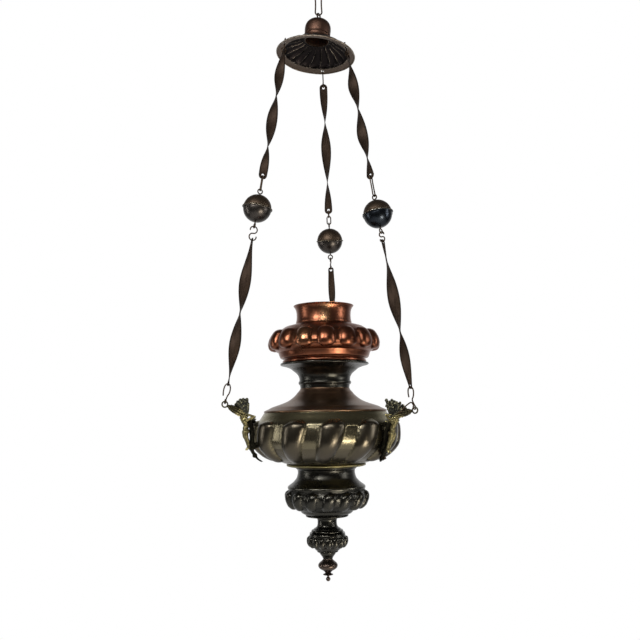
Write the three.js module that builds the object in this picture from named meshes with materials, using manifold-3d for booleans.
// Hanging votive lamp: a copper font on a gadrooned bronze bowl, hung by three twisted
// straps with bead balls from a fluted canopy.
// Millimetres, +Z up. The origin is where the top ring rests on a ceiling hook.
// Azimuths are in degrees round the lamp, 0 towards -Y and 90 towards +X.

import * as THREE from "three";
import { mergeVertices } from "three/addons/utils/BufferGeometryUtils.js";
import Module from "manifold-3d";

const wasm = await Module();
wasm.setup();

// Sheet, wire and clearances
const sheet = 1.4;
const seatGap = 0.3;
const wire = 2.3;
const hangerWire = 2.8;
const holeRadius = 2.7;
const openPivotGap = 1.05;

// Vessel, from the tip up. Radii are those of the outer face, over the lobes.
const drop = { height: 38.3, ball: 4, disc: 8.8, waist: 2, belly: 16.9, neck: 8.4 };
const knob = {
  height: 44, neck: 8.4, cup: 14, ridge: 18.2, belly: 36.5, top: 29.8, lobes: 16, lobeDepth: 2.4,
};
const stem = { height: 27.1, collar: 28, waist: 17, top: 21 };
const bulb = {
  height: 84.7, foot: 37.4, footHeight: 3, belly: 75.2, neck: 50.5, mouth: 54,
  lobes: 14, lobeDepth: 4, swirl: -6, lobeAzimuth: 4,
};
const footRing = { height: 6.7, radius: 70, bore: 52 };
const bowl = {
  height: 88.7, foot: 70, belly: 134.3, rim: 109, floor: 2.5,
  lobes: 12, lobeDepth: 6, swirl: -9, lobeAzimuth: 5,
};
const shoulder = { height: 42.4, rim: 109, rimHeight: 3.7, neck: 44.2 };
const spool = { height: 45, foot: 44, bead: 47, waist: 45.8, flange: 79, flangeHeight: 4 };
const font = {
  height: 103.7, foot: 75, footHeight: 4.5, groove: 70.5, belly: 101.8, neck: 49.5, mouth: 54.4,
  floor: 2.5, lobes: 15, lobeDepth: 5, lobeAzimuth: 2,
};
const tieRod = { radius: 3, intoKnob: 22, aboveFloor: 14 };
const tieNut = { radius: 7, height: 6 };
const washer = { radius: 15, height: 1.5 };

// Brackets: heights are above the bottom of the bowl
const bracket = {
  ringReach: 184.5, ringRadius: 4.9, ringWire: 2.6, shoulderReach: 155, shoulderHeight: 82.5,
  hipReach: 148, hipHeight: 60, kneeReach: 149, kneeHeight: 43, footReach: 142, footHeight: 27,
  tailReach: 127, tailHeight: 14, handReach: 122, handHeight: 77, screwHeight: 32,
  headRadius: 6.4, torsoRadius: 6, thighRadius: 4.4, armRadius: 2.4,
  kneeRadius: 3.4, ankleRadius: 2.6, leafRadius: 3, stalkRadius: 2.4, soleRadius: 4,
  elbowSpread: 12, handSpread: 7, hipSpread: 3.4, kneeSpread: 4.2, footSpread: 3,
};
const wing = { length: 21, width: 13, thickness: 1.4, rootLength: 8, rootHeight: 1.5, lift: 20 };
const screw = { radius: 2, head: 4, headHeight: 2.2, grip: 9, pad: 4.6 };

// Canopy: heights are above the lower edge of its band
const canopy = {
  radius: 75, bandInner: 62, bandRise: 3, dishRise: 30, dishTop: 28, dishBore: 20.5,
  lobes: 18, lobeDepth: 3.2, swirl: 14, holeAt: 67, hookHole: 3.4, hookStop: 3.6,
};
const crown = { height: 43, base: 24, belly: 24.8, bore: 3.6 };
const eye = { radius: 4.9, turn: 35, nutRadius: 6, nutHeight: 5 };
const topLink = { width: 12.6, length: 46.3 };
const topRing = { radius: 15, wire: 4 };

// Straps and balls
const upperStrap = { reach: 242, margin: 8, width: 19.5, endWidth: 15.5, thickness: 1.2 };
const lowerStrap = { reach: 254, margin: 7, width: 20.5, endWidth: 11, thickness: 1.6 };
const ball = {
  radius: 25.2, wall: 1, flange: 29.4, flangeThickness: 1, eyeRadius: 4.2, wireReach: 64,
};

// How far the canopy's middle stands off the vessel's axis, towards -X and -Y.
const hangOffset = { left: 6.6, front: 0.6 };

// The legs. A reach is the distance between the two hole or eye centres that a piece joins.
// The canopy's holes lie a little off the azimuths of the brackets.
const linkWidth = 7.4;
const legs = [
  {
    side: "left", azimuth: -67.5, holeAzimuth: -59.2, ringHeight: 104.4, bracketShift: 0,
    hook: 19.1, links: [31.5], sHook: 28.5, lowerHook: 36.5, twist: 450, hookTurn: 0,
  },
  {
    side: "right", azimuth: 52.5, holeAzimuth: 58.1, ringHeight: 88.8, bracketShift: -7,
    hook: 17.1, links: [43], sHook: 21, lowerHook: 40.7, twist: 450, hookTurn: 0,
  },
  {
    side: "back", azimuth: 172.5, holeAzimuth: 168.3, ringHeight: 99.4, bracketShift: -3,
    hook: 33.1, links: [15, 15], sHook: 26, lowerHook: 25, twist: 360, hookTurn: 12,
  },
];

const copper = { color: 0x6e2a18, roughness: 0.28, metalness: 1 };
const darkBronze = { color: 0x2a2620, roughness: 0.38, metalness: 1 };
const bronze = { color: 0x4a3a22, roughness: 0.34, metalness: 1 };
const strapBronze = { color: 0x463020, roughness: 0.45, metalness: 1 };
const ballBronze = { color: 0x3c3026, roughness: 0.36, metalness: 1 };
const wornBrass = { color: 0x6f6432, roughness: 0.36, metalness: 1 };
const iron = { color: 0x1e1a16, roughness: 0.55, metalness: 1 };

// Facets of the round faces
const roundSegments = 24;
const innerSegments = 24;
const wireSides = 5;
const ringPieces = 10;

const up = new THREE.Vector3(0, 0, 1);
const rad = THREE.MathUtils.degToRad;

const lamp = new THREE.Group();

// Adds one named piece to a group.
function addPiece(group, name, geometry, finish) {
  const mesh = new THREE.Mesh(geometry, new THREE.MeshStandardMaterial(finish));
  mesh.name = name;
  group.add(mesh);
  return mesh;
}

// A point at a radius, azimuth and height.
function polar(radius, azimuth, height) {
  const a = rad(azimuth);
  return new THREE.Vector3(radius * Math.sin(a), -radius * Math.cos(a), height);
}

// A closed geometry as a solid that can be joined and cut.
function toSolid(geometry) {
  const bare = new THREE.BufferGeometry();
  bare.setAttribute("position", geometry.getAttribute("position"));
  if (geometry.index) bare.setIndex(geometry.index);
  const merged = mergeVertices(bare, 1e-4);
  return new wasm.Manifold(
    new wasm.Mesh({
      numProp: 3,
      vertProperties: new Float32Array(merged.getAttribute("position").array),
      triVerts: new Uint32Array(merged.index.array),
    }),
  );
}

// A solid as a geometry.
function toGeometry(solid) {
  const mesh = solid.getMesh();
  const geometry = new THREE.BufferGeometry();
  const positions = new Float32Array(mesh.vertProperties);
  geometry.setAttribute("position", new THREE.BufferAttribute(positions, 3));
  geometry.setIndex(new THREE.BufferAttribute(new Uint32Array(mesh.triVerts), 1));
  geometry.computeVertexNormals();
  return geometry;
}

// Several closed geometries joined into one.
function join(geometries) {
  return toGeometry(geometries.map(toSolid).reduce((sum, next) => sum.add(next)));
}

// One closed geometry with others cut out of it.
function cut(geometry, tools) {
  const solid = tools.map(toSolid).reduce((left, tool) => left.subtract(tool), toSolid(geometry));
  return toGeometry(solid);
}

// How far each of a lobe's columns lies below its crest, as a share of the depth.
const lobeDips = { 2: [0, 1], 3: [0, 0.75, 0.75], 4: [0, 0.28, 1, 0.28] };

// Revolves rows of { r, z, depth, turn } round Z. The rows run up the outer face and down the inner
// one, from axis to axis or round a closed loop.
function revolve(rows, segments, azimuth = 0, columns = 4) {
  const lobeDip = lobeDips[columns];
  const closed = rows[0].r > 0;
  const positions = [];
  const starts = rows.map((row) => {
    const start = positions.length / 3;
    const count = row.r > 0 ? segments : 1;
    for (let j = 0; j < count; j += 1) {
      const dip = (row.depth ?? 0) * lobeDip[j % columns];
      const p = polar(row.r - dip, azimuth + (row.turn ?? 0) + (360 * j) / segments, row.z);
      positions.push(p.x, p.y, p.z);
    }
    return start;
  });
  const index = [];
  const last = closed ? rows.length : rows.length - 1;
  for (let i = 0; i < last; i += 1) {
    const k = (i + 1) % rows.length;
    for (let j = 0; j < segments; j += 1) {
      const n = (j + 1) % segments;
      const [a, b] = rows[i].r > 0 ? [starts[i] + j, starts[i] + n] : [starts[i], starts[i]];
      const [d, c] = rows[k].r > 0 ? [starts[k] + j, starts[k] + n] : [starts[k], starts[k]];
      if (a !== b) index.push(a, b, c);
      if (c !== d) index.push(a, c, d);
    }
  }
  const geometry = new THREE.BufferGeometry();
  geometry.setAttribute("position", new THREE.Float32BufferAttribute(positions, 3));
  geometry.setIndex(index);
  geometry.computeVertexNormals();
  return geometry;
}

// Points on a smooth curve through [radius, share of the height] pairs.
function smooth(height, pairs, steps) {
  const points = pairs.map(([r, share]) => new THREE.Vector2(r, share * height));
  const curve = new THREE.SplineCurve(points);
  return curve.getPoints(steps).map((p) => ({ r: p.x, z: p.y }));
}

// The same outline moved inwards by the wall, along its own normals.
function inset(outline, wall) {
  return outline.map((row, i) => {
    const a = outline[Math.max(i - 1, 0)];
    const b = outline[Math.min(i + 1, outline.length - 1)];
    const length = Math.hypot(b.r - a.r, b.z - a.z);
    return {
      ...row,
      r: row.r - (wall * (b.z - a.z)) / length,
      z: row.z + (wall * (b.r - a.r)) / length,
    };
  });
}

// Gives the rows of an outline their lobe depth between two heights, and their swirl.
function withLobes(outline, low, high, depth, swirl) {
  return outline.map((row) => {
    const share = (row.z - low) / (high - low);
    const inside = share > 0 && share < 1;
    const rise = inside ? Math.sin(Math.PI * Math.sqrt(share)) ** 0.6 : 0;
    return { ...row, depth: depth * rise, turn: swirl * (1 - THREE.MathUtils.clamp(share, 0, 1)) };
  });
}

// A lobed body hollowed by a plain inner face, one sheet below the valleys, and by other cuts.
function hollow(solidRows, outline, floor, lobes, azimuth, columns, tools) {
  const inner = inset(outline, sheet)
    .map((row) => ({ r: row.r - (row.depth ?? 0), z: row.z }))
    .filter((row) => row.z > floor.z + 1);
  const top = outline[outline.length - 1].z;
  inner[inner.length - 1].z = top;
  const rim = inner[inner.length - 1].r;
  const cavity = [{ r: 0, z: floor.z }, floor, ...inner, { r: rim, z: top + 1 }, { r: 0, z: top + 1 }];
  const body = revolve(solidRows, lobes * columns, azimuth, columns);
  return cut(body, [revolve(cavity, innerSegments), ...tools]);
}

// Straight bar between two points, as thick at each end as asked, with pointed round ends.
function limb(from, to, startRadius, endRadius, sides = 5) {
  const length = from.distanceTo(to);
  const geometry = revolve(
    [
      { r: 0, z: -startRadius * 0.8 },
      { r: startRadius, z: 0 },
      { r: endRadius, z: length },
      { r: 0, z: length + endRadius * 0.8 },
    ],
    sides,
  );
  const direction = to.clone().sub(from).normalize();
  geometry.applyQuaternion(new THREE.Quaternion().setFromUnitVectors(up, direction));
  return geometry.translate(from.x, from.y, from.z);
}

// Round head of a figure.
function roundHead(centre, radius) {
  const rows = [-90, -50, 0, 50, 90].map((degrees) => {
    const a = rad(degrees);
    return { r: Math.abs(degrees) === 90 ? 0 : radius * Math.cos(a), z: radius * Math.sin(a) };
  });
  return revolve(rows, 7).translate(centre.x, centre.y, centre.z);
}

// A cylinder along X, Y or Z, centred on a point.
function bar(radius, length, axis, x, y, z, sides = 12) {
  const geometry = new THREE.CylinderGeometry(radius, radius, length, sides);
  if (axis === "x") geometry.rotateZ(Math.PI / 2);
  if (axis === "z") geometry.rotateX(Math.PI / 2);
  return geometry.translate(x, y, z);
}

// A ring of wire standing in the XZ plane, turned about Z.
function standingRing(radius, thickness, turn, z, pieces = ringPieces) {
  return new THREE.TorusGeometry(radius, thickness / 2, wireSides, pieces)
    .rotateX(Math.PI / 2)
    .rotateZ(rad(turn))
    .translate(0, 0, z);
}

// A link with straight sides and round ends, its bends' centre lines at the two heights.
function standingLink(width, top, bottom, thickness, turn) {
  const stretch = (top - bottom - width) / 2;
  const geometry = new THREE.TorusGeometry(width / 2, thickness / 2, wireSides, ringPieces);
  const place = geometry.getAttribute("position");
  for (let i = 0; i < place.count; i += 1) {
    const y = place.getY(i);
    if (Math.abs(y) > 0.001) place.setY(i, y + Math.sign(y) * stretch);
  }
  return geometry.rotateX(Math.PI / 2).rotateZ(rad(turn)).translate(0, 0, (top + bottom) / 2);
}

// Wire along a smooth curve through points.
function bentWire(points, thickness, steps) {
  const corners = [];
  for (let i = 0; i < wireSides; i += 1) {
    const a = (2 * Math.PI * i) / wireSides;
    corners.push(new THREE.Vector2((thickness / 2) * Math.cos(a), (thickness / 2) * Math.sin(a)));
  }
  const path = new THREE.CatmullRomCurve3(points, false, "centripetal");
  return new THREE.ExtrudeGeometry(new THREE.Shape(corners), {
    steps,
    bevelEnabled: false,
    extrudePath: path,
  });
}

// Heights at which the vessel's pieces start, stacked with a seat gap between them.
const base = {};
let stackTop = 0;
for (const [name, piece] of Object.entries({
  drop, knob, stem, bulb, footRing, bowl, shoulder, spool, font,
})) {
  base[name] = stackTop;
  stackTop += piece.height + seatGap;
}

// Drop finial: tip ball, disc, round drop and neck, cast solid.
function dropFinial() {
  const { height, ball: tip, disc, waist, belly, neck } = drop;
  const profile = [
    [disc * 0.75, 0.45],
    [belly * 0.83, 0.56],
    [belly, 0.7],
    [belly * 0.88, 0.82],
    [neck, 1],
  ];
  const rows = [
    { r: 0, z: 0 },
    { r: tip * 0.75, z: tip * 0.35 },
    { r: tip, z: tip },
    { r: tip * 0.75, z: tip * 1.65 },
    { r: waist, z: tip * 2 },
    { r: disc * 0.8, z: height * 0.265 },
    { r: disc, z: height * 0.295 },
    { r: disc * 0.8, z: height * 0.32 },
    { r: disc * 0.55, z: height * 0.375 },
    ...smooth(height, profile, 7),
    { r: 0, z: height },
  ];
  return revolve(rows, 16);
}

// Hole that the tie rod needs, from one height to another in the vessel.
function rodHole(bottom, top) {
  return bar(tieRod.radius + seatGap, top - bottom, "z", 0, 0, (top + bottom) / 2);
}

// Finial knob: cup, ridge and sixteen lobes, cast solid and drilled for the rod.
function finialKnob() {
  const { height, neck, cup, ridge, belly, top, lobes, lobeDepth } = knob;
  const profile = [
    [ridge, 0.3],
    [belly * 0.86, 0.45],
    [belly * 0.98, 0.6],
    [belly, 0.74],
    [belly * 0.95, 0.89],
    [top, 1],
  ];
  const body = smooth(height, profile, 7);
  const rows = [
    { r: 0, z: 0 },
    { r: neck, z: 0 },
    { r: cup * 0.9, z: height * 0.15 },
    { r: cup, z: height * 0.23 },
    { r: ridge * 0.97, z: height * 0.26 },
    ...withLobes(body, height * 0.34, height * 0.92, lobeDepth, 0),
    { r: 0, z: height },
  ];
  return cut(revolve(rows, lobes * 2, 0, 2), [rodHole(height - tieRod.intoKnob, height + 1)]);
}

// Stem with its collar, drilled through.
function stemPiece() {
  const { height, collar, waist, top } = stem;
  const rows = [
    { r: 0, z: 0 },
    { r: collar * 0.94, z: 0 },
    { r: collar, z: height * 0.1 },
    { r: collar * 0.95, z: height * 0.19 },
    { r: collar * 0.84, z: height * 0.25 },
    { r: waist * 1.12, z: height * 0.38 },
    { r: waist, z: height * 0.55 },
    { r: waist, z: height * 0.84 },
    { r: top, z: height },
    { r: 0, z: height },
  ];
  return cut(revolve(rows, 18), [rodHole(-1, height + 1)]);
}

// Lower bulb: foot disc, lobed belly, smooth dome and straight neck.
function bulbShell() {
  const { height, foot, footHeight, belly, neck, mouth, lobes, lobeDepth, swirl, lobeAzimuth } = bulb;
  const profile = [
    [foot * 0.99, 0.05],
    [belly * 0.82, 0.155],
    [belly * 0.95, 0.26],
    [belly, 0.42],
    [belly * 0.94, 0.59],
    [belly * 0.8, 0.69],
    [neck * 1.04, 0.78],
    [neck, 0.86],
    [neck * 1.01, 0.96],
  ];
  const body = smooth(height, profile, 9);
  const outline = [
    ...withLobes(body, height * 0.09, height * 0.56, lobeDepth, swirl),
    { r: mouth, z: height },
  ];
  const rows = [
    { r: 0, z: 0 },
    { r: foot, z: 0 },
    { r: foot, z: footHeight },
    ...outline,
    { r: 0, z: height },
  ];
  const floor = { r: foot * 0.9, z: footHeight + sheet };
  return hollow(rows, outline, floor, lobes, lobeAzimuth, 3, [rodHole(-1, floor.z + 1)]);
}

// Outer outline of the main bowl, grown by a clearance.
function bowlOutline(growth = 0) {
  const { height, foot, belly, rim, lobeDepth, swirl } = bowl;
  const profile = [
    [foot, 0],
    [belly * 0.74, 0.07],
    [belly * 0.89, 0.205],
    [belly * 0.97, 0.34],
    [belly, 0.56],
    [belly * 0.985, 0.79],
    [belly * 0.915, 0.88],
    [belly * 0.84, 0.925],
    [rim, 1],
  ];
  const body = smooth(height, profile, 9);
  const outline = withLobes(body, height * 0.02, height * 0.9, lobeDepth, swirl);
  return growth ? inset(outline, -growth) : outline;
}

// Main bowl with its floor, drilled for the rod and for the bracket screws.
function bowlShell(screwHoles) {
  const outline = bowlOutline();
  const rows = [{ r: 0, z: 0, turn: bowl.swirl }, ...outline, { r: 0, z: bowl.height }];
  const tools = [rodHole(-1, bowl.floor + 1), ...screwHoles];
  const floor = { r: bowl.foot, z: bowl.floor };
  return hollow(rows, outline, floor, bowl.lobes, bowl.lobeAzimuth, 4, tools);
}

// Trumpet shoulder that closes the bowl.
function shoulderShell() {
  const { height, rim, rimHeight, neck } = shoulder;
  const profile = [
    [rim * 0.93, 0.16],
    [rim * 0.76, 0.325],
    [rim * 0.6, 0.49],
    [neck * 1.18, 0.74],
    [neck * 1.03, 0.91],
    [neck, 1],
  ];
  const slope = smooth(height, profile, 6);
  const inner = inset(slope, sheet).reverse();
  inner[0].z = height;
  const bore = rim - sheet * 1.5;
  const rows = [
    { r: rim, z: 0 },
    { r: rim, z: rimHeight },
    ...slope,
    ...inner,
    { r: bore, z: rimHeight - sheet },
    { r: bore, z: 0 },
  ];
  return revolve(rows, roundSegments);
}

// Dark neck spool with its bead and wide flange.
function spoolShell() {
  const { height, foot, bead, waist, flange, flangeHeight } = spool;
  const under = height - flangeHeight;
  const profile = [
    [waist, 0.31],
    [waist * 1.04, 0.5],
    [waist * 1.24, 0.7],
    [waist * 1.53, 0.86],
  ];
  const outline = [
    { r: foot, z: 0 },
    { r: foot, z: height * 0.13 },
    { r: bead, z: height * 0.2 },
    { r: bead, z: height * 0.25 },
    ...smooth(height, profile, 5),
    { r: flange, z: under },
    { r: flange, z: height },
  ];
  const bore = foot - sheet;
  const seat = font.foot - 2 * sheet;
  const inner = [
    { r: seat, z: height },
    { r: waist * 1.4, z: under - sheet },
    { r: bore * 1.1, z: height * 0.6 },
    { r: bore, z: height * 0.35 },
    { r: bore, z: 0 },
  ];
  return revolve([...outline, ...inner], roundSegments);
}

// Copper font: foot lip, groove, lobed body, straight neck and everted mouth.
function fontShell() {
  const { height, foot, footHeight, groove, belly, neck, mouth } = font;
  const profile = [
    [foot * 1.03, 0.08],
    [belly * 0.845, 0.148],
    [belly * 0.96, 0.22],
    [belly, 0.32],
    [belly * 0.965, 0.46],
    [belly * 0.82, 0.595],
    [belly * 0.72, 0.645],
    [neck * 1.06, 0.675],
  ];
  const body = smooth(height, profile, 9);
  const outline = [
    { r: groove, z: footHeight + 0.8 },
    { r: groove, z: footHeight + 2.4 },
    ...withLobes(body, height * 0.14, height * 0.655, font.lobeDepth, 0),
    { r: neck, z: height * 0.69 },
    { r: neck * 0.99, z: height * 0.9 },
    { r: neck * 1.03, z: height * 0.955 },
    { r: mouth, z: height * 0.985 },
    { r: mouth, z: height },
  ];
  const rows = [
    { r: 0, z: 0 },
    { r: foot, z: 0 },
    { r: foot, z: footHeight },
    ...outline,
    { r: 0, z: height },
  ];
  const floor = { r: groove - sheet * 1.5, z: font.floor };
  return hollow(rows, outline, floor, font.lobes, font.lobeAzimuth, 3, []);
}

// The two-piece bead ball: a hemisphere with its flange, drilled at the pole.
function ballHalf(flip) {
  const { radius, wall, flange, flangeThickness } = ball;
  const bore = wire / 2 + seatGap;
  const arcSteps = 3;
  const arc = (r, bottom) => {
    const from = Math.asin(bottom / r);
    const to = Math.acos(bore / r);
    return Array.from({ length: arcSteps + 1 }, (_, i) => {
      const a = from + ((to - from) * i) / arcSteps;
      return { r: r * Math.cos(a), z: r * Math.sin(a) };
    });
  };
  const rows = [
    { r: radius - wall, z: seatGap / 2 },
    { r: flange, z: seatGap / 2 },
    { r: flange, z: seatGap / 2 + flangeThickness },
    ...arc(radius, seatGap / 2 + flangeThickness),
    ...arc(radius - wall, seatGap / 2 + flangeThickness).reverse(),
  ];
  const geometry = revolve(rows, 14);
  return flip ? geometry.rotateX(Math.PI) : geometry;
}

// Ball wire: a rod with an eye at each end, the lower eye a quarter turn round from the upper.
function ballWire() {
  const half = ball.wireReach / 2;
  const rod = bar(wire / 2, 2 * (half - ball.eyeRadius), "z", 0, 0, 0, 8);
  return join([
    rod,
    standingRing(ball.eyeRadius, wire, 0, half),
    standingRing(ball.eyeRadius, wire, 90, -half),
  ]);
}

// A strap twisted about its own length, hanging from its top hole at the origin.
function twistedStrap({ reach, margin, width, endWidth, thickness }, twist, pace) {
  const middle = 20;
  const stations = [-margin, -margin * 0.75, -margin * 0.2];
  for (let i = 1; i < middle; i += 1) stations.push((reach * i) / middle);
  stations.push(reach + margin * 0.2, reach + margin * 0.75, reach + margin);
  const turnAt = (s) => rad(twist) * THREE.MathUtils.clamp(s / reach, 0, 1) ** pace;
  const widthAt = (s) => {
    const edge = Math.min(s, reach - s) + margin;
    const blend = THREE.MathUtils.smoothstep(edge, margin, reach * 0.34);
    const full = THREE.MathUtils.lerp(endWidth, width, blend);
    return edge < margin ? full * Math.sqrt(Math.max(1 - (1 - edge / margin) ** 2, 0.16)) : full;
  };
  const positions = [];
  const index = [];
  stations.forEach((s, row) => {
    const normal = new THREE.Vector3(Math.cos(turnAt(s)), Math.sin(turnAt(s)), 0);
    const across = new THREE.Vector3(-normal.y, normal.x, 0);
    for (const [u, v] of [[-1, -1], [1, -1], [1, 1], [-1, 1]]) {
      const p = new THREE.Vector3(0, 0, -s)
        .addScaledVector(normal, (u * thickness) / 2)
        .addScaledVector(across, (v * widthAt(s)) / 2);
      positions.push(p.x, p.y, p.z);
    }
    if (row === 0) return;
    for (let side = 0; side < 4; side += 1) {
      const a = 4 * (row - 1) + side;
      const b = 4 * (row - 1) + ((side + 1) % 4);
      if (side < 2) index.push(a, b + 4, b, a, a + 4, b + 4);
      else index.push(a, a + 4, b, b, a + 4, b + 4);
    }
  });
  const end = positions.length / 3 - 4;
  index.push(0, 1, 2, 0, 2, 3, end, end + 2, end + 1, end, end + 3, end + 2);
  const geometry = new THREE.BufferGeometry();
  geometry.setAttribute("position", new THREE.Float32BufferAttribute(positions, 3));
  geometry.setIndex(index);
  const drill = (z, angle) => {
    return bar(holeRadius, 4 * thickness, "x", 0, 0, 0, 10).rotateZ(angle).translate(0, 0, z);
  };
  return cut(geometry, [drill(0, 0), drill(-reach, rad(twist))]);
}

// S hook between two bends, the plane of each bend turned about the leg.
function sHook(top, bottom, topTurn, bottomTurn) {
  const middle = (top + bottom) / 2;
  const r = (top - bottom) / 4;
  const points = [];
  for (const side of [1, -1]) {
    const centre = middle + side * r;
    const arc = [150, 105, 60, 15, -30, -65].map((degrees) => {
      const a = rad(degrees);
      const p = new THREE.Vector3(side * -r * Math.cos(a), 0, centre + side * r * Math.sin(a));
      return p.applyAxisAngle(up, rad(side === 1 ? topTurn : bottomTurn));
    });
    points.push(...(side === 1 ? arc : arc.reverse()));
  }
  return bentWire(points, wire, 16);
}

// Canopy hook: a ring that can't pass the hole, a shank and a loop through the strap.
function canopyHook(reach, ringTurn) {
  const slack = holeRadius - wire / 2 - seatGap;
  const stop = canopy.hookStop;
  const loop = (upperStrap.margin + wire / 2 + 2 * seatGap - slack) / 2;
  const shankBottom = slack - reach + 2 * loop;
  const shankTop = wire / 2 + sheet + 1.5 * seatGap;
  return join([
    standingRing(stop, wire, ringTurn, shankTop + stop),
    standingRing(loop, wire, 0, shankBottom - loop),
    bar(wire / 2, shankTop - shankBottom, "z", 0, 0, (shankTop + shankBottom) / 2, 8),
  ]);
}

// Bracket: a putto between a leaf capital with its ring and a scroll foot. X runs outwards.
function bracketFigure(leg, envelope, fixing, screwHole) {
  const b = bracket;
  const lift = leg.bracketShift;
  const point = (reach, across, height) => new THREE.Vector3(reach, across, height + lift);
  const ring = new THREE.Vector3(b.ringReach, 0, leg.ringHeight);
  const neck = point(b.shoulderReach, 0, b.shoulderHeight);
  const lean = ring.clone().sub(neck).normalize();
  const head = neck.clone().addScaledVector(lean, b.headRadius * 1.25);
  const leaf = ring.clone().addScaledVector(lean, -b.ringRadius - b.ringWire);
  const foot = point(b.footReach, 0, b.footHeight);
  const root = fixing.point.clone().addScaledVector(fixing.normal, screw.grip * 2);
  const pieces = [
    limb(point(b.hipReach, 0, b.hipHeight), neck, b.torsoRadius * 0.92, b.torsoRadius, 8),
    roundHead(head, b.headRadius),
    limb(head.clone().addScaledVector(lean, b.headRadius * 0.7), leaf, b.headRadius * 0.9, b.leafRadius),
    new THREE.TorusGeometry(b.ringRadius, b.ringWire / 2, wireSides, ringPieces)
      .rotateX(Math.PI / 2)
      .translate(ring.x, ring.y, ring.z),
    limb(leaf, ring.clone().addScaledVector(lean, -b.ringRadius), b.stalkRadius, b.stalkRadius / 1.5, 4),
    limb(foot, root, b.soleRadius, screw.pad),
    limb(root, fixing.point, screw.pad, screw.pad),
    limb(root, point(b.tailReach, 0, b.tailHeight), screw.pad * 0.9, b.ankleRadius),
  ];
  for (const side of [-1, 1]) {
    const shoulder = point(b.shoulderReach, side * b.torsoRadius * 0.9, b.shoulderHeight - 2);
    const elbowReach = (b.shoulderReach + b.handReach) / 2;
    const elbow = point(elbowReach, side * b.elbowSpread, b.shoulderHeight + 1);
    const knee = point(b.kneeReach, side * b.kneeSpread, b.kneeHeight);
    const ankle = point(b.footReach, side * b.footSpread, b.footHeight);
    const hand = point(b.handReach, side * b.handSpread, b.handHeight);
    pieces.push(
      limb(point(b.hipReach, side * b.hipSpread, b.hipHeight - 1), knee, b.thighRadius, b.kneeRadius),
      limb(knee, ankle, b.kneeRadius, b.ankleRadius),
      limb(shoulder, elbow, b.armRadius * 1.25, b.armRadius, 4),
      limb(elbow, hand, b.armRadius, b.armRadius * 0.9, 4),
    );
  }
  return cut(join(pieces), [envelope, screwHole]);
}

// A pair of wings on one root, behind the shoulders.
function wingPair(leg) {
  const { length, width, thickness, rootLength, rootHeight } = wing;
  const inner = -width * 0.15;
  const outline = new THREE.Shape();
  outline.moveTo(inner, 0);
  outline.lineTo(width * 0.35, 0);
  outline.lineTo(width, length * 0.55);
  outline.lineTo(width * 0.72, length * 0.6);
  outline.lineTo(width * 0.86, length * 0.86);
  outline.lineTo(width * 0.5, length * 0.8);
  outline.lineTo(width * 0.38, length);
  outline.lineTo(0, length * 0.72);
  outline.lineTo(inner, length * 0.4);
  const blades = [90, 270].map((turn) => {
    return new THREE.ExtrudeGeometry(outline, { depth: thickness, bevelEnabled: false })
      .translate(0, 0, -thickness / 2)
      .rotateX(Math.PI / 2)
      .rotateZ(rad(turn));
  });
  const root = bar(thickness * 1.2, rootLength, "y", 0, 0, rootHeight, 8);
  const back = bracket.shoulderReach - bracket.torsoRadius - thickness * 1.2 - seatGap * 1.6;
  return join([...blades, root])
    .rotateY(rad(wing.lift))
    .translate(back, 0, bracket.shoulderHeight + leg.bracketShift + 2);
}

// Where a bracket is screwed to the bowl: the middle of the inner facet at about this height,
// and the wall's normal there.
function wallFixing(height) {
  const rows = inset(bowlOutline(), sheet);
  const k = rows.findIndex((row) => row.z > height);
  const [a, b] = [rows[k - 1], rows[k]].map((row) => {
    const r = (row.r - row.depth) * Math.cos(Math.PI / innerSegments);
    return new THREE.Vector3(r, 0, row.z);
  });
  const along = b.clone().sub(a).normalize();
  return {
    point: a.clone().lerp(b, 0.5),
    normal: new THREE.Vector3(along.z, 0, -along.x),
  };
}

// A piece drawn along Z, laid along the fixing's normal with its zero on the inner face.
function layOnFixing(geometry, { point, normal }) {
  const turn = new THREE.Quaternion().setFromUnitVectors(up, normal);
  return geometry.applyQuaternion(turn).translate(point.x, point.y, point.z);
}

// Screw that holds a bracket, its head inside the bowl.
function bracketScrew(length) {
  const { radius, head, headHeight } = screw;
  const rows = [
    { r: 0, z: -seatGap - headHeight },
    { r: head * 0.7, z: -seatGap - headHeight },
    { r: head, z: -seatGap - headHeight * 0.4 },
    { r: head, z: -seatGap },
    { r: radius, z: -seatGap },
    { r: radius, z: length },
    { r: 0, z: length },
  ];
  return revolve(rows, 10);
}

// Vessel
const vessel = new THREE.Group();
lamp.add(vessel);

function addVesselPiece(name, geometry, height, finish) {
  addPiece(vessel, name, geometry, finish).position.z = height;
}

const envelopeOutline = bowlOutline(seatGap);
const envelope = revolve(
  [
    { r: 0, z: -seatGap, turn: bowl.swirl },
    ...envelopeOutline,
    { r: bowl.rim + seatGap, z: bowl.height + shoulder.rimHeight + seatGap },
    { r: 0, z: bowl.height + shoulder.rimHeight + seatGap },
  ],
  bowl.lobes * 4,
  bowl.lobeAzimuth,
);

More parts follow.
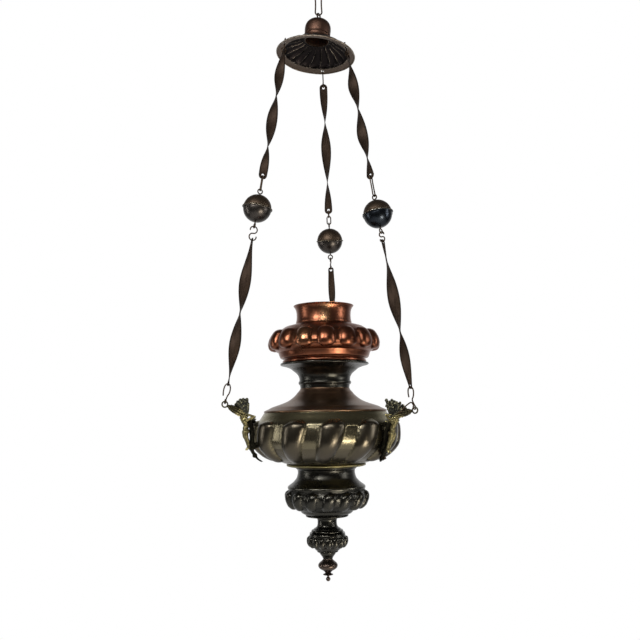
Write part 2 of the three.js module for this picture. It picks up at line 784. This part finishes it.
// Brackets stand on the bowl, each with X outwards.
const screwHoles = [];
const screwLength = bowl.lobeDepth + sheet + screw.grip;
for (const leg of legs) {
  const group = new THREE.Group();
  const turn = rad(leg.azimuth - 90);
  group.rotation.z = turn;
  group.position.z = base.bowl;
  vessel.add(group);
  const fixing = wallFixing(bracket.screwHeight + leg.bracketShift);
  const hole = () => {
    const length = screwLength + seatGap + sheet;
    const drill = bar(screw.radius + seatGap, length, "z", 0, 0, length / 2 - sheet, 10);
    return layOnFixing(drill, fixing);
  };
  screwHoles.push(hole().rotateZ(turn));
  const local = envelope.clone().rotateZ(-turn);
  const figure = bracketFigure(leg, local, fixing, hole());
  addPiece(group, `putto_bracket_${leg.side}`, figure, wornBrass);
  addPiece(group, `putto_wings_${leg.side}`, wingPair(leg), darkBronze);
  const pin = layOnFixing(bracketScrew(screwLength), fixing);
  addPiece(group, `bracket_screw_${leg.side}`, pin, iron);
}

addVesselPiece("drop_finial", dropFinial(), base.drop, darkBronze);
addVesselPiece("finial_knob", finialKnob(), base.knob, darkBronze);
addVesselPiece("stem", stemPiece(), base.stem, darkBronze);
addVesselPiece("lower_bulb", bulbShell(), base.bulb, darkBronze);
addVesselPiece(
  "foot_ring",
  revolve(
    [
      { r: footRing.bore, z: 0 },
      { r: bulb.mouth, z: 0 },
      { r: footRing.radius, z: footRing.height * 0.5 },
      { r: footRing.radius, z: footRing.height },
      { r: footRing.bore, z: footRing.height },
    ],
    roundSegments,
  ),
  base.footRing,
  wornBrass,
);
addVesselPiece("main_bowl", bowlShell(screwHoles), base.bowl, bronze);
addVesselPiece("shoulder", shoulderShell(), base.shoulder, bronze);
addVesselPiece("neck_spool", spoolShell(), base.spool, darkBronze);
addVesselPiece("font", fontShell(), base.font, copper);

const floorTop = base.bowl + bowl.floor;
const rodBottom = base.knob + knob.height - tieRod.intoKnob + seatGap;
const rodTop = floorTop + tieRod.aboveFloor;
addPiece(
  vessel,
  "tie_rod",
  bar(tieRod.radius, rodTop - rodBottom, "z", 0, 0, (rodTop + rodBottom) / 2),
  iron,
);

// A flat ring round the tie rod.
function rodRing(radius, height, sides) {
  const bore = tieRod.radius + seatGap;
  return revolve(
    [{ r: bore, z: 0 }, { r: radius, z: 0 }, { r: radius, z: height }, { r: bore, z: height }],
    sides,
  );
}

addVesselPiece("tie_washer", rodRing(washer.radius, washer.height, 16), floorTop + seatGap, iron);
addVesselPiece(
  "tie_nut",
  cut(bar(tieNut.radius, tieNut.height, "z", 0, 0, tieNut.height / 2, 6), [
    rodHole(-1, tieNut.height + 1),
  ]),
  floorTop + 2 * seatGap + washer.height,
  iron,
);

// Canopy: three hook holes at the leg lengths above the bracket rings set its height and tilt.
const bandHole = new THREE.Vector3(
  canopy.holeAt,
  0,
  (canopy.bandRise * (canopy.radius - canopy.holeAt)) / (canopy.radius - canopy.bandInner),
);
for (const leg of legs) {
  leg.ring = polar(bracket.ringReach, leg.azimuth, base.bowl + leg.ringHeight);
  leg.length =
    leg.hook + upperStrap.reach + leg.links.reduce((sum, reach) => sum + reach, 0) +
    ball.wireReach + leg.sHook + lowerStrap.reach + leg.lowerHook;
  const hole = polar(canopy.holeAt, leg.holeAzimuth, 0);
  hole.x -= hangOffset.left;
  hole.y -= hangOffset.front;
  const run = Math.hypot(hole.x - leg.ring.x, hole.y - leg.ring.y);
  leg.hole = hole.setZ(leg.ring.z + Math.sqrt(leg.length ** 2 - run ** 2));
}
const [holeLeft, holeRight, holeBack] = legs.map((leg) => leg.hole);
const canopyAxis = holeRight.clone().sub(holeLeft).cross(holeBack.clone().sub(holeLeft)).normalize();
const canopyGroup = new THREE.Group();
canopyGroup.quaternion.setFromUnitVectors(up, canopyAxis);
for (const leg of legs) {
  const inCanopy = polar(canopy.holeAt, leg.holeAzimuth, bandHole.z);
  const middle = leg.hole.clone().sub(inCanopy.applyQuaternion(canopyGroup.quaternion));
  canopyGroup.position.addScaledVector(middle, 1 / legs.length);
}
lamp.add(canopyGroup);
canopyGroup.updateMatrixWorld(true);
for (const leg of legs) {
  const inCanopy = polar(canopy.holeAt, leg.holeAzimuth, bandHole.z);
  leg.hole = inCanopy.applyMatrix4(canopyGroup.matrixWorld);
}

// Flared band with its three hook holes.
function canopyBand() {
  const { radius, bandInner, bandRise, holeAt } = canopy;
  const edge = sheet * 1.6;
  const rows = [
    { r: radius - edge * 0.5, z: -edge * 0.4 },
    { r: radius, z: 0 },
    { r: radius - edge * 0.3, z: edge * 0.9 },
    { r: bandInner, z: bandRise + sheet },
    { r: bandInner - sheet, z: bandRise },
    { r: bandInner, z: bandRise - sheet * 0.4 },
  ];
  const holes = legs.map((leg) => {
    const p = polar(holeAt, leg.holeAzimuth, bandHole.z);
    return bar(canopy.hookHole, 14, "z", p.x, p.y, p.z, 10);
  });
  return cut(revolve(rows, 36), holes);
}

// Fluted dish between the band and the crown.
function canopyDish() {
  const { bandInner, bandRise, dishRise, dishTop, dishBore, lobes, lobeDepth, swirl } = canopy;
  const foot = bandRise + sheet + seatGap;
  const profile = [
    [bandInner + 1, foot],
    [bandInner * 0.93, foot + 7],
    [dishTop * 1.6, dishRise * 0.86],
    [dishTop, dishRise],
  ];
  const outline = [
    ...withLobes(smooth(1, profile, 5), foot - 0.01, dishRise, lobeDepth, swirl),
    { r: dishBore + sheet, z: dishRise, turn: 0 },
  ];
  outline[0].depth = 0;
  const inner = inset(outline, sheet).reverse();
  inner[0] = { r: dishBore, z: dishRise, turn: 0 };
  inner[1] = { ...inner[1], r: dishBore, z: dishRise - sheet, depth: 0 };
  inner[inner.length - 1].z = foot;
  return revolve([...outline, ...inner], lobes * 2, 0, 2);
}

// Hollow round crown with a loose hole for the shank of the eye.
function crownShell() {
  const { height, base: foot, belly, bore } = crown;
  const profile = [
    [belly, 0.45],
    [belly * 0.97, 0.66],
    [belly * 0.72, 0.88],
    [belly * 0.36, 0.98],
  ];
  const outline = [
    { r: foot, z: 0 },
    { r: foot * 0.96, z: height * 0.18 },
    { r: foot, z: height * 0.32 },
    ...smooth(height, profile, 5),
    { r: bore, z: height },
  ];
  const inner = inset(outline, sheet * 1.3).reverse();
  inner[0] = { r: bore, z: height - sheet * 1.6 };
  inner[inner.length - 1].z = 0;
  return revolve([...outline, ...inner], 18);
}

addPiece(canopyGroup, "canopy_band", canopyBand(), strapBronze);
addPiece(canopyGroup, "canopy_dish", canopyDish(), strapBronze);
const crownBase = canopy.dishRise + seatGap;
addPiece(canopyGroup, "canopy_crown", crownShell(), strapBronze).position.z = crownBase;

// Swivel eye, link and ring hang plumb above the crown's hole.
const crownTop = new THREE.Vector3(0, 0, crownBase + crown.height).applyMatrix4(canopyGroup.matrixWorld);
const hang = new THREE.Group();
hang.position.copy(crownTop);
lamp.add(hang);
const tiltRoom = 0.75;
const eyeCentre = eye.radius + hangerWire / 2 + seatGap + tiltRoom;
const nutTop = -sheet * 1.6 - seatGap - tiltRoom;
const shankTop = eyeCentre - eye.radius;
const shankBottom = nutTop - eye.nutHeight;
addPiece(
  hang,
  "canopy_eye",
  join([
    standingRing(eye.radius, hangerWire, 90 - eye.turn, eyeCentre),
    bar(hangerWire / 2, shankTop - shankBottom, "z", 0, 0, (shankTop + shankBottom) / 2, 8),
    revolve(
      [
        { r: 0, z: shankBottom - 1 },
        { r: eye.nutRadius * 0.7, z: shankBottom },
        { r: eye.nutRadius, z: nutTop - 1 },
        { r: eye.nutRadius * 0.8, z: nutTop },
        { r: 0, z: nutTop },
      ],
      12,
    ),
  ]),
  iron,
);
const linkBottom = eyeCentre + eye.radius - hangerWire - seatGap;
const linkTop = linkBottom + topLink.length;
addPiece(hang, "hanging_link", standingLink(topLink.width, linkTop, linkBottom, hangerWire, 0), iron);
const topRingBottom = linkTop - (hangerWire + topRing.wire) / 2 - seatGap;
addPiece(
  hang,
  "top_ring",
  standingRing(topRing.radius, topRing.wire, 90, topRingBottom + topRing.radius, 24),
  iron,
);

// Legs: each runs straight from its hook hole to its bracket ring.
for (const leg of legs) {
  const group = new THREE.Group();
  const along = leg.hole.clone().sub(leg.ring).normalize();
  const tangent = polar(1, leg.azimuth + 90, 0);
  const outward = tangent.clone().cross(along).normalize();
  const across = along.clone().cross(outward);
  group.quaternion.setFromRotationMatrix(new THREE.Matrix4().makeBasis(outward, across, along));
  group.position.copy(leg.hole);
  lamp.add(group);
  const name = (piece) => `${piece}_${leg.side}`;
  const slack = holeRadius - wire / 2 - seatGap;
  const eyeSlack = ball.eyeRadius - wire - seatGap;

  addPiece(group, name("canopy_hook"), canopyHook(leg.hook, 90), iron);
  let s = leg.hook;
  const upper = twistedStrap(upperStrap, leg.twist, 1);
  addPiece(group, name("upper_strap"), upper, strapBronze).position.z = -s;
  s += upperStrap.reach;

  let turn = leg.twist;
  let start = s + slack;
  leg.links.forEach((reach, i) => {
    const last = i === leg.links.length - 1;
    s += reach;
    const end = last ? s - eyeSlack : s;
    const title = leg.links.length > 1 ? `upper_link_${leg.side}_${i + 1}` : name("upper_link");
    addPiece(group, title, standingLink(linkWidth, -start, -end, wire, turn), iron);
    start = end - wire - seatGap;
    turn += 90;
  });

  leg.ballCentre = new THREE.Vector3(0, 0, -s - ball.wireReach / 2);
  addPiece(group, name("ball_wire"), ballWire(), iron).position.copy(leg.ballCentre);
  addPiece(group, name("ball_upper_half"), ballHalf(false), ballBronze).position.copy(leg.ballCentre);
  addPiece(group, name("ball_lower_half"), ballHalf(true), ballBronze).position.copy(leg.ballCentre);
  s += ball.wireReach;

  const hookTop = -(s + eyeSlack);
  s += leg.sHook;
  addPiece(group, name("s_hook"), sHook(hookTop, -(s - slack), leg.hookTurn, leg.hookTurn), iron);
  const lower = twistedStrap(lowerStrap, 360, 1.2);
  addPiece(group, name("lower_strap"), lower, strapBronze).position.z = -s;
  s += lowerStrap.reach;

  const ringTop = leg.length - bracket.ringRadius;
  const lowerEnd = ringTop + (bracket.ringWire + wire) / 2 + openPivotGap;
  addPiece(group, name("lower_hook"), sHook(-(s + slack), -lowerEnd, 0, 90), iron);
  leg.group = group;
}

// The origin goes to the inside of the ring's top, where the ceiling hook bears.
const ringTopInside = topRingBottom + 2 * topRing.radius - topRing.wire / 2;
const hangPoint = crownTop.clone().add(new THREE.Vector3(0, 0, ringTopInside));
lamp.children.forEach((child) => child.position.sub(hangPoint));
lamp.updateMatrixWorld(true);

// Pivots of the moving parts, for whoever poses the lamp.
lamp.userData.pivots = {
  linkTop: new THREE.Vector3(0, 0, linkTop).applyMatrix4(hang.matrixWorld),
  eyeTop: new THREE.Vector3(0, 0, eyeCentre + eye.radius).applyMatrix4(hang.matrixWorld),
  hooks: legs.map((leg) => leg.hole.clone().sub(hangPoint)),
  rings: legs.map((leg) => leg.ring.clone().sub(hangPoint)),
  balls: legs.map((leg) => leg.ballCentre.clone().applyMatrix4(leg.group.matrixWorld)),
  lengths: legs.map((leg) => leg.length),
  vesselBase: vessel.position.clone(),
};

export default lamp;
